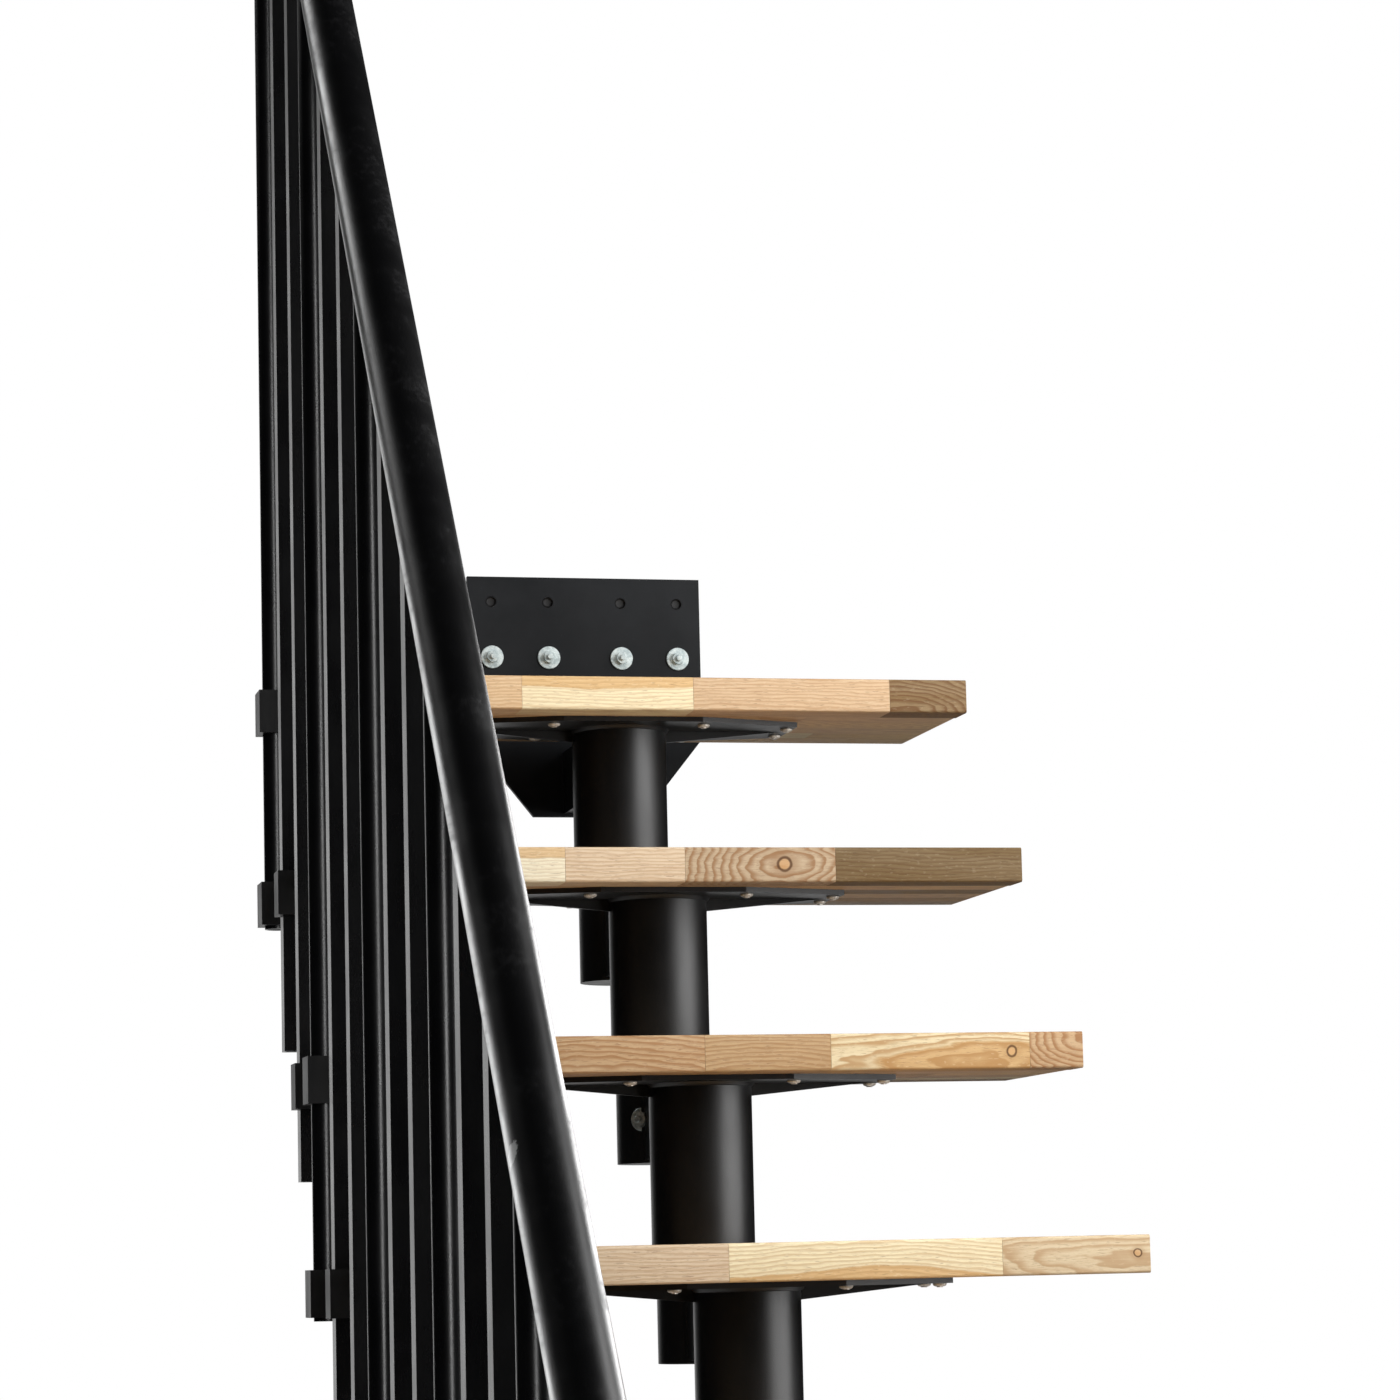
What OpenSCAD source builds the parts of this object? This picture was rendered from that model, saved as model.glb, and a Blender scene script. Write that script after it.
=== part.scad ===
// Modular spine staircase with a railing on one side.
// Oak treads lie on stacked steel modules. Each module is one welding: a tube under its tread,
// a carrier plate with a rib, and a box web to a slimmer spigot, on which the next tube stands.
// Z is up, the flight climbs towards +Y and the railing is on the -X side.
// The origin is the centre of the underside of the floor plate, on the axis of the lowest tube.

/* [Flight] */
// Height from one tread to the next
rise = 225; // [205:1:240]
// Distance along the flight from one tread to the next
going = 200; // [190:1:240]

/* [Treads] */
// Width of a tread across the flight
tread_w = 800; // [640:1:1000]
// Depth of a tread from front to back
tread_d = 285; // [240:1:342]
// Thickness of a tread
tread_t = 40; // [32:1:50]
// Rounding of a tread's edges
tread_edge_r = 3; // [1:0.5:6]

/* [Modules] */
// Outer diameter of the tube under a tread
tube_d = 114.3; // [96:0.1:137]
// Wall of the tube under a tread
tube_wall = 4; // [3:0.5:6]
// Wall of the spigot that the next tube stands over
spigot_wall = 5; // [3:0.5:6]
// Depth of the spigot below the tread
spigot_drop = 88; // [82:1:106]
// Length of the spigot inside the next tube
spigot_grip = 100; // [60:1:120]
// Width of the box web between tube and spigot
web_w = 62; // [50:1:76]
// Height of the box web
web_h = 78; // [62:1:82]
// Wall of the box web
web_wall = 5; // [3:0.5:8]
// Length of the carrier plate across the flight
carrier_l = 424; // [340:1:520]
// Depth of the carrier plate at its middle
carrier_mid_d = 180; // [160:1:190]
// Depth of the carrier plate at its ends
carrier_end_d = 100; // [80:1:120]
// Length of the carrier plate's middle stretch, where its depth is full
carrier_mid_l = 170; // [130:1:200]
// Thickness of the carrier plate
carrier_t = 6; // [4:0.5:8]
// Height of the carrier's rib at the tube
rib_h = 14; // [8:1:20]
// Thickness of the carrier's rib
rib_t = 6; // [4:0.5:10]
// Diameter of a screw hole in the carrier plate
screw_hole_d = 6.5; // [5:0.5:9]

/* [Floor plate] */
// Side of the square floor plate
floor_plate_w = 250; // [210:1:300]
// Thickness of the floor plate
floor_plate_t = 10; // [8:1:15]
// Spacing of the four floor bolts
floor_bolt_spacing = 190; // [170:1:195]
// Diameter of a floor bolt hole
floor_hole_d = 14; // [9:0.5:16]

/* [Wall plate] */
// Width of the wall plate
wall_plate_w = 300; // [280:1:360]
// Thickness of the wall plate
wall_plate_t = 8; // [6:1:12]
// Height of the wall plate's top above the top tread
wall_plate_up = 178; // [168:1:214]
// Depth of the wall plate's bottom below the top tread
wall_plate_down = 128; // [126:1:180]
// Distance from the top tube's axis to the wall plate's face
wall_reach = 198; // [180:1:238]
// Width of the slanted cut at the plate's lower corners
wall_cut_w = 80; // [60:1:100]
// Height of the slanted cut at the plate's lower corners
wall_cut_h = 100; // [70:1:120]
// Spacing of the inner pair of bolt holes
wall_inner_spacing = 94; // [80:1:120]
// Spacing of the outer pair of bolt holes
wall_outer_spacing = 240; // [200:1:250]
// Height of the lower row of bolt holes above the top tread
wall_row_up = 75; // [60:1:80]
// Distance between the two rows of bolt holes
wall_row_spacing = 71; // [60:1:78]
// Diameter of a wall bolt hole
wall_hole_d = 14; // [9:0.5:14]

/* [Railing] */
// Gap between the treads' ends and the middle of the railing
rail_offset = 30; // [24:1:50]
// Diameter of the handrail
handrail_d = 54; // [42:1:65]
// Wall of the handrail
handrail_wall = 3; // [2:0.5:5]
// Height of the handrail's axis over the pitch line of the treads' tops
handrail_h = 1345; // [1100:1:1500]
// Length of the handrail past its last posts, measured along the flight
handrail_past = 150; // [60:1:250]
// Diameter of a round post
post_d = 32; // [26:0.5:36]
// Side of a square baluster
baluster_w = 25; // [16:1:28]
// Wall of the posts and balusters
post_wall = 2.5; // [1.5:0.5:4]
// Depth of a clip's top below the top of its tread
clip_drop = 17; // [8:1:22]
// Height of a clip
clip_h = 50; // [42:1:60]
// Wall of a clip around its post or baluster
clip_wall = 6; // [4:0.5:8]
// Length of the clip's foot under the tread
clip_foot_l = 60; // [40:1:80]
// Thickness of the clip's foot
clip_foot_t = 5; // [3:0.5:6]
// Length of a post that shows below its lower clip
post_drop = 4; // [2:1:12]
// Thickness of the handrail's end caps
cap_t = 4; // [2:0.5:8]
// Diameter of the first post's foot on the floor
foot_d = 90; // [60:1:110]
// Thickness of the first post's foot
foot_t = 8; // [5:0.5:12]

/* [Hidden] */
$fn = 64;

tread_count = 11;
screw_end_gap = 9;         // from a carrier's tip to the screws beside it
screw_side_gap = 20;       // from a carrier's side to the screws at its tips
screw_inner_x = 92;        // from the tube's axis to the inner screws
screw_mid_gap = 28;        // from a carrier's side to the inner screws
fit_gap = 0.3;             // running clearance between round pieces
weld_overlap = 1;          // how far welded steel pieces run into each other
oak = [0.78, 0.64, 0.45];
black = [0.07, 0.07, 0.075];

tube_r = tube_d / 2;
tube_bore_r = tube_r - tube_wall;
spigot_r = tube_bore_r - fit_gap;
tube_below_tread = tread_t / 2;             // the tube ends this far below the lower tread's top
rail_x = -(tread_w / 2 + rail_offset);
pitch_angle = atan(rise / going);
handrail_r = handrail_d / 2;
post_spacing = 2 * going;                   // a round post stands between every other two treads
baluster_offset = going / 6;                // a baluster stands this far from its tread's axis

// Height of the top of tread number i, where 1 is the lowest.
function tread_z(i) = i * rise;
// Place along the flight of the axis of the tube under tread number i.
function tread_y(i) = (i - 1) * going;
// Height of the pitch line through the treads' tops at a place along the flight.
function pitch_z(y) = rise + y * rise / going;

// ---- Treads ----

// A rectangle with round corners, from arcs and straight sides.
module rounded_rect(w, h, r) {
    square([w - 2 * r, h], center = true);
    square([w, h - 2 * r], center = true);
    for (x = [-1, 1], y = [-1, 1])
        translate([x * (w / 2 - r), y * (h / 2 - r)])
            circle(r, $fn = 32);
}

// A board with all its edges rounded, centred on its own middle.
module eased_board(w, d, t, r) {
    intersection() {
        rotate([90, 0, 90])
            linear_extrude(w, center = true)
                rounded_rect(d, t, r);
        rotate([90, 0, 0])
            linear_extrude(d, center = true)
                rounded_rect(w, t, r);
    }
}

// One oak tread. A deep tread is scooped out round the tube behind it.
module tread(i) {
    color(oak)
        translate([0, tread_y(i), tread_z(i) - tread_t / 2])
            difference() {
                eased_board(tread_w, tread_d, tread_t, tread_edge_r);
                translate([0, going, 0])
                    cylinder(h = tread_t + 2, r = tube_r + fit_gap, center = true);
            }
}

// ---- Modules ----

// Outline of the carrier plate: full depth in the middle, tapering to both ends.
module carrier_outline() {
    mid = carrier_mid_l / 2;
    end = carrier_l / 2;
    deep = carrier_mid_d / 2;
    slim = carrier_end_d / 2;
    polygon([
        [-mid, -deep], [mid, -deep], [end, -slim], [end, slim],
        [mid, deep], [-mid, deep], [-end, slim], [-end, -slim]
    ]);
}

// Upright rib under the carrier plate, deepest at the tube and fading out near the tips.
module carrier_rib() {
    reach = carrier_l / 2 - 12;
    rotate([90, 0, 0])
        linear_extrude(rib_t, center = true)
            polygon([[-reach, 1], [reach, 1], [reach, 0], [tube_r, -rib_h], [-tube_r, -rib_h], [-reach, 0]]);
}

// Screw places on one carrier plate, seen from above.
module at_screws() {
    for (x = [-1, 1]) {
        for (y = [-1, 1])
            translate([x * (carrier_l / 2 - screw_end_gap), y * (carrier_end_d / 2 - screw_side_gap)])
                children();
        for (y = [-1, 1])
            translate([x * screw_inner_x, y * (carrier_mid_d / 2 - screw_mid_gap)])
                children();
    }
}

// Box web from a tube's axis to a place further back. Its top is at z = 0.
module box_web(reach) {
    translate([-web_w / 2, 0, -web_h])
        difference() {
            cube([web_w, reach, web_h]);
            translate([web_wall, -1, web_wall])
                cube([web_w - 2 * web_wall, reach + 2, web_h - 2 * web_wall]);
        }
}

// The front part of module number i: carrier plate, rib, and tube with its lower end at z = foot.
module carrier(i, foot) {
    under = tread_z(i) - tread_t;
    tube_top = under - carrier_t;
    translate([0, tread_y(i), 0]) {
        difference() {
            translate([0, 0, under - carrier_t])
                linear_extrude(carrier_t)
                    carrier_outline();
            translate([0, 0, under - carrier_t - 1])
                linear_extrude(carrier_t + 2)
                    at_screws()
                        circle(d = screw_hole_d, $fn = 24);
        }
        difference() {
            union() {
                translate([0, 0, foot])
                    cylinder(h = tube_top - foot + weld_overlap, r = tube_r);
                translate([0, 0, tube_top])
                    carrier_rib();
            }
            translate([0, 0, foot - 1])
                cylinder(h = tube_top - foot + 1, r = tube_bore_r);
        }
    }
}

// Spigot behind a tread: the slimmer tube that the next module's tube stands over.
module spigot(i) {
    bottom = tread_z(i) - tread_t - spigot_drop;
    top = tread_z(i) + spigot_grip;
    translate([0, tread_y(i) + going, bottom])
        difference() {
            cylinder(h = top - bottom, r = spigot_r);
            translate([0, 0, spigot_wall])
                cylinder(h = top - bottom, r = spigot_r - spigot_wall);
        }
}

// Web between the tube and the spigot, cut to the outside of both.
module module_web(i) {
    under = tread_z(i) - tread_t;
    translate([0, tread_y(i), under - carrier_t])
        difference() {
            box_web(going);
            translate([0, 0, -web_h - 1])
                cylinder(h = web_h + 2, r = tube_r - weld_overlap);
            translate([0, going, -web_h - 1])
                cylinder(h = web_h + 2, r = spigot_r - weld_overlap);
        }
}

// Lower end of the tube of module number i.
function tube_foot(i) = i == 1 ? floor_plate_t : tread_z(i - 1) - tube_below_tread;

// A whole module, from its tube's lower end to its spigot's top.
module spine_module(i) {
    color(black)
        union() {
            carrier(i, tube_foot(i));
            spigot(i);
            module_web(i);
        }
}

// Top module: its web runs on to the wall plate instead of to a spigot.
module top_module(i) {
    under = tread_z(i) - tread_t;
    color(black) {
        carrier(i, tube_foot(i));
        translate([0, tread_y(i), under - carrier_t])
            difference() {
                box_web(wall_reach);
                translate([0, 0, -web_h - 1])
                    cylinder(h = web_h + 2, r = tube_r - weld_overlap);
            }
    }
}

// ---- Fixings to the building ----

// Square plate on the floor under the lowest tube.
module floor_plate() {
    color(black)
        difference() {
            translate([-floor_plate_w / 2, -floor_plate_w / 2, 0])
                cube([floor_plate_w, floor_plate_w, floor_plate_t]);
            for (x = [-1, 1], y = [-1, 1])
                translate([x * floor_bolt_spacing / 2, y * floor_bolt_spacing / 2, -1])
                    cylinder(h = floor_plate_t + 2, d = floor_hole_d);
        }
}

// Outline of the wall plate: X across, Y up from the top tread's level.
module wall_outline() {
    half = wall_plate_w / 2;
    polygon([
        [-half, wall_plate_up], [half, wall_plate_up],
        [half, -wall_plate_down + wall_cut_h], [half - wall_cut_w, -wall_plate_down],
        [-half + wall_cut_w, -wall_plate_down], [-half, -wall_plate_down + wall_cut_h]
    ]);
}

// Plate on the wall behind the top tread, with two rows of four bolt holes.
module wall_plate() {
    top_z = tread_z(tread_count);
    color(black)
        translate([0, tread_y(tread_count) + wall_reach, top_z])
            difference() {
                translate([0, wall_plate_t, 0])
                    rotate([90, 0, 0])
                        linear_extrude(wall_plate_t)
                            wall_outline();
                for (x = [-1, 1], row = [0, 1], gap = [wall_inner_spacing, wall_outer_spacing])
                    translate([x * gap / 2, -1, wall_row_up + row * wall_row_spacing])
                        rotate([-90, 0, 0])
                            cylinder(h = wall_plate_t + 2, d = wall_hole_d);
            }
}

// ---- Railing ----

// Place along the flight of round post number k, counted from the foot of the flight.
function post_y(k) = -going / 2 + (k - 1) * post_spacing;
// Number of the lower tread that round post number k is clipped to. The first has only an upper one.
function post_tread(k) = 2 * k - 2;
// Height of the handrail's axis at a place along the flight.
function handrail_z(y) = pitch_z(y) + handrail_h;
// Lower end of a post or baluster: the ends lie on a line along the pitch.
function post_end_z(y) = pitch_z(y) - rise / 2 - clip_drop - clip_h - post_drop;

// What the handrail takes out of the top of a post.
module handrail_room(y) {
    translate([rail_x, y, handrail_z(y)])
        rotate([pitch_angle - 90, 0, 0])
            cylinder(h = 4 * handrail_d, r = handrail_r + fit_gap, center = true);
}

// A round tube from z = bottom up to the handrail's underside.
module round_post(y, bottom) {
    color(black)
        difference() {
            translate([rail_x, y, bottom])
                cylinder(h = handrail_z(y) - bottom, d = post_d);
            translate([rail_x, y, bottom - 1])
                cylinder(h = handrail_z(y) - bottom + 2, d = post_d - 2 * post_wall);
            above_handrail(y);
        }
}

// A square tube from its place on the pitch up to the handrail's underside.
module baluster(y) {
    bottom = post_end_z(y);
    inner = baluster_w - 2 * post_wall;
    color(black)
        difference() {
            translate([rail_x - baluster_w / 2, y - baluster_w / 2, bottom])
                cube([baluster_w, baluster_w, handrail_z(y) - bottom]);
            translate([rail_x - inner / 2, y - inner / 2, bottom - 1])
                cube([inner, inner, handrail_z(y) - bottom + 2]);
            above_handrail(y);
        }
}

// Everything from the handrail's lower half upwards at a post.
module above_handrail(y) {
    handrail_room(y);
    translate([rail_x, y, handrail_z(y)])
        rotate([pitch_angle, 0, 0])
            translate([-handrail_d, -2 * handrail_d, 0])
                cube([2 * handrail_d, 4 * handrail_d, 2 * handrail_d]);
}

// Round post number k. The first stands on the floor.
module post(k) {
    y = post_y(k);
    round_post(y, k == 1 ? 0 : post_end_z(y));
}

// The two square balusters between round posts k and k + 1.
module baluster_pair(k) {
    baluster(tread_y(2 * k - 1) + baluster_offset);
    baluster(tread_y(2 * k) - baluster_offset);
}

// Clip on the end of tread number i: a sleeve round a post or baluster at y, a lug to the
// tread's end and a foot under the tread.
module clip(i, y, round) {
    inner = round ? post_d : baluster_w;
    outer = inner + 2 * clip_wall;
    foot_x = tread_w / 2 - clip_foot_l;
    color(black)
        difference() {
            union() {
                translate([rail_x - outer / 2, y - outer / 2, tread_z(i) - clip_drop - clip_h])
                    cube([outer / 2 + rail_offset, outer, clip_h]);
                translate([rail_x, y - outer / 2, tread_z(i) - tread_t - clip_foot_t])
                    cube([-foot_x - rail_x, outer, clip_foot_t]);
            }
            translate([rail_x, y, tread_z(i) - clip_drop - clip_h - 1])
                if (round)
                    cylinder(h = clip_h + 2, d = inner + 2 * fit_gap);
                else
                    translate([-inner / 2 - fit_gap, -inner / 2 - fit_gap, 0])
                        cube([inner + 2 * fit_gap, inner + 2 * fit_gap, clip_h + 2]);
        }
}

// All clips: round posts are clipped to the treads below and above them.
module baluster_clips() {
    for (k = [1:6]) {
        if (k > 1)
            clip(post_tread(k), post_y(k), true);
        clip(post_tread(k) + 1, post_y(k), true);
    }
    for (k = [1:5]) {
        clip(2 * k - 1, tread_y(2 * k - 1) + baluster_offset, false);
        clip(2 * k, tread_y(2 * k) - baluster_offset, false);
    }
}

// Ends of the handrail, as places along the flight.
handrail_y0 = post_y(1) - handrail_past;
handrail_y1 = post_y(6) + handrail_past;
handrail_l = (handrail_y1 - handrail_y0) / cos(pitch_angle);

// Moves its children to the handrail's lower end, with +Z along the rail.
module along_handrail() {
    translate([rail_x, handrail_y0, handrail_z(handrail_y0)])
        rotate([pitch_angle - 90, 0, 0])
            children();
}

module handrail() {
    color(black)
        along_handrail()
            difference() {
                cylinder(h = handrail_l, r = handrail_r);
                translate([0, 0, -1])
                    cylinder(h = handrail_l + 2, r = handrail_r - handrail_wall);
            }
}

// Discs that close both ends of the handrail.
module handrail_caps() {
    color(black)
        along_handrail() {
            translate([0, 0, -cap_t])
                cylinder(h = cap_t, r = handrail_r);
            translate([0, 0, handrail_l])
                cylinder(h = cap_t, r = handrail_r);
        }
}

// Round foot on the floor, round the lowest post.
module post_foot() {
    color(black)
        translate([rail_x, post_y(1), 0])
            difference() {
                cylinder(h = foot_t, d = foot_d);
                translate([0, 0, -1])
                    cylinder(h = foot_t + 2, d = post_d + 2 * fit_gap);
            }
}

floor_plate();
wall_plate();
spine_module(1);  // module_01
spine_module(2);  // module_02
spine_module(3);  // module_03
spine_module(4);  // module_04
spine_module(5);  // module_05
spine_module(6);  // module_06
spine_module(7);  // module_07
spine_module(8);  // module_08
spine_module(9);  // module_09
spine_module(10);  // module_10
top_module(11);  // module_11
tread(1);  // tread_01
tread(2);  // tread_02
tread(3);  // tread_03
tread(4);  // tread_04
tread(5);  // tread_05
tread(6);  // tread_06
tread(7);  // tread_07
tread(8);  // tread_08
tread(9);  // tread_09
tread(10);  // tread_10
tread(11);  // tread_11
post(1);  // post_1
post(2);  // post_2
post(3);  // post_3
post(4);  // post_4
post(5);  // post_5
post(6);  // post_6
post_foot();
baluster_pair(1);  // baluster_pair_1
baluster_pair(2);  // baluster_pair_2
baluster_pair(3);  // baluster_pair_3
baluster_pair(4);  // baluster_pair_4
baluster_pair(5);  // baluster_pair_5
baluster_clips();
handrail();
handrail_caps();
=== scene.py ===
"""Looks for the modular spine staircase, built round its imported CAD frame.

Steel keeps its CAD nodes and gets powder-coat materials. Each oak tread is rebuilt as
edge-glued staves, and the screws, bolts, welds and plugs are added true to scale.
"""

import math
import random

import bmesh
import bpy
from mathutils import Matrix, Vector


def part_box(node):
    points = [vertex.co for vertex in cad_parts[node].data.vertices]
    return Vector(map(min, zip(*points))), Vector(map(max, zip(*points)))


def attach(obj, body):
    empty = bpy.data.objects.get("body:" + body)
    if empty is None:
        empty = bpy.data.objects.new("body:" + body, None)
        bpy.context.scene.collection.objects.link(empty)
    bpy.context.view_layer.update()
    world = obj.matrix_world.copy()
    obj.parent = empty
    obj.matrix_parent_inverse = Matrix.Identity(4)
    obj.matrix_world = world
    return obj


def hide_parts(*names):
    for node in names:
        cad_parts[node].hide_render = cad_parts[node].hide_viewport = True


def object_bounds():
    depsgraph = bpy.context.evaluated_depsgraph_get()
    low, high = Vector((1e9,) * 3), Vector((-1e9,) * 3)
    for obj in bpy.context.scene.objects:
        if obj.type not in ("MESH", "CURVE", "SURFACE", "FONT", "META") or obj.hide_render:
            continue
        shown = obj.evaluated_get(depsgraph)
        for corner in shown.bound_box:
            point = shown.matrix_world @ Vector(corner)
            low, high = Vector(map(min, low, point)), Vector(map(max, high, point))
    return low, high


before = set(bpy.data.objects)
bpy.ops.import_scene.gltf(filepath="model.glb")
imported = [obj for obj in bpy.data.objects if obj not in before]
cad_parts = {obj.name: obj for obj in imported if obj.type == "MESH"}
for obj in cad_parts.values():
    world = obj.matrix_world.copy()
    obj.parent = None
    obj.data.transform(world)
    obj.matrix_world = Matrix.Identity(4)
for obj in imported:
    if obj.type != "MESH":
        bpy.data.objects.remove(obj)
cad_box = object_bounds()

# ---- Places read from the frame ----

TREADS = sorted(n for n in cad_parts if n.startswith("tread_"))
MODULES = sorted(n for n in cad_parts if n.startswith("module_"))
POSTS = [f"post_{number}" for number in range(1, 7)]
PAIRS = sorted(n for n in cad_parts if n.startswith("baluster_pair_"))


def mid(node):
    low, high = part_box(node)
    return (low + high) / 2


tread_low, tread_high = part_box(TREADS[0])
TREAD_T = tread_high.z - tread_low.z
RISE = mid(TREADS[1]).z - mid(TREADS[0]).z
GOING = mid(TREADS[1]).y - mid(TREADS[0]).y
RAIL_X = mid("post_1").x
POST_R = (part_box("post_2")[1].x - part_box("post_2")[0].x) / 2
BALUSTER_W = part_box("baluster_pair_1")[1].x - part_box("baluster_pair_1")[0].x

# The same values as in the CAD source, in metres.
TUBE_R = 0.05715
CARRIER_T = 0.006
# Carrier screws from the tube's axis: two at each end, then two on each side.
END_SCREW = (0.203, 0.030)
SIDE_SCREW = (0.092, 0.062)
SCREW_PLACES = [
    (x * out, y * along) for out, along in (END_SCREW, SIDE_SCREW) for x in (-1, 1) for y in (-1, 1)
]
SPIGOT_R = 0.05285
WEB_W = 0.062
WEB_H = 0.078
POST_WALL = 0.0025
CLIP_FOOT_T = 0.005
WALL_BOLTS_X = (-0.120, -0.047, 0.047, 0.120)
WALL_ROW_UP = 0.075
WALL_ROW_SPACING = 0.071
FLOOR_BOLT = 0.095
FLOOR_T = 0.010
FOOT_T = 0.008
FOOT_SCREW_CIRCLE = 0.031
SPIGOT_BOLT_BELOW_TREAD = 0.078

SMOOTH_CAD = 30     # degrees up to which neighbouring faces are shaded as one
CORNER_STEPS = 4    # segments of a rounded corner

# ---- Mesh helpers ----


def make_piece(name, bm, material):
    """Turns a bmesh in the row frame into a piece of the object."""
    bmesh.ops.recalc_face_normals(bm, faces=bm.faces)
    mesh = bpy.data.meshes.new(name)
    bm.to_mesh(mesh)
    bm.free()
    piece = bpy.data.objects.new(name, mesh)
    bpy.context.scene.collection.objects.link(piece)
    mesh.materials.append(material)
    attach(piece, "root")
    return piece


def smooth_by_angle(piece, degrees=35):
    """Shades a piece smoothly, but for edges sharper than the angle."""
    mesh = piece.data
    mesh.shade_smooth()
    mesh.set_sharp_from_angle(angle=math.radians(degrees))


def axes_to(direction):
    """Rotation that turns +Z to the direction."""
    return Vector((0, 0, 1)).rotation_difference(Vector(direction)).to_matrix().to_4x4()


def on_circle(radius, angle, height):
    return Vector((radius * math.cos(angle), radius * math.sin(angle), height))


def add_lathe(bm, profile, place, direction, segments=28):
    """A closed solid of revolution. The profile is (radius, height), from axis round to axis."""
    move = Matrix.Translation(place) @ axes_to(direction)
    rings = []
    for radius, height in profile:
        if radius == 0:
            rings.append([bm.verts.new(move @ Vector((0, 0, height)))])
            continue
        ring = []
        for k in range(segments):
            a = 2 * math.pi * k / segments
            ring.append(bm.verts.new(move @ on_circle(radius, a, height)))
        rings.append(ring)
    for one, two in zip(rings, rings[1:]):
        for k in range(segments):
            n = (k + 1) % segments
            # A ring on the axis is one vertex, so the face there is a triangle.
            corners = [one[k % len(one)], one[n % len(one)], two[n % len(two)], two[k % len(two)]]
            unique = list(dict.fromkeys(corners))
            if len(unique) > 2:
                bm.faces.new(unique)


def add_ring(bm, profile, place, direction, segments=48):
    """A closed ring: the profile of (radius, height) points goes round and back to its start."""
    move = Matrix.Translation(place) @ axes_to(direction)
    rings = []
    for k in range(segments):
        a = 2 * math.pi * k / segments
        rings.append([bm.verts.new(move @ on_circle(r, a, h)) for r, h in profile])
    for k in range(segments):
        one, two = rings[k], rings[(k + 1) % segments]
        for j in range(len(profile)):
            n = (j + 1) % len(profile)
            bm.faces.new([one[j], two[j], two[n], one[n]])


def add_hex(bm, across, height, place, direction, turn=0.0):
    """A hexagon head with a rounded top edge, standing on its place."""
    move = Matrix.Translation(place) @ axes_to(direction) @ Matrix.Rotation(turn, 4, "Z")
    corner = across / math.sqrt(3)
    count = 6 * CORNER_STEPS
    rings = []
    for radius_share, level in ((0.96, 0.0), (1.0, 0.06), (1.0, 0.82), (0.90, 1.0)):
        ring = []
        for k in range(count):
            a = 2 * math.pi * k / count
            sector = (a % (math.pi / 3)) - math.pi / 6
            hexagon = across / 2 / math.cos(sector)
            radius = min(hexagon, corner * radius_share)
            ring.append(bm.verts.new(move @ on_circle(radius, a, level * height)))
        rings.append(ring)
    for one, two in zip(rings, rings[1:]):
        for k in range(len(one)):
            n = (k + 1) % len(one)
            bm.faces.new([one[k], one[n], two[n], two[k]])
    bm.faces.new(list(reversed(rings[0])))
    bm.faces.new(rings[-1])


def add_washer(bm, outer, inner, thick, place, direction):
    """A washer whose outer edges are broken by a quarter of its thickness."""
    e = thick * 0.25
    profile = [(inner, 0), (outer - e, 0), (outer, e)]
    profile += [(outer, thick - e), (outer - e, thick), (inner, thick)]
    add_ring(bm, profile, place, direction, 32)


# ---- Materials ----


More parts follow.
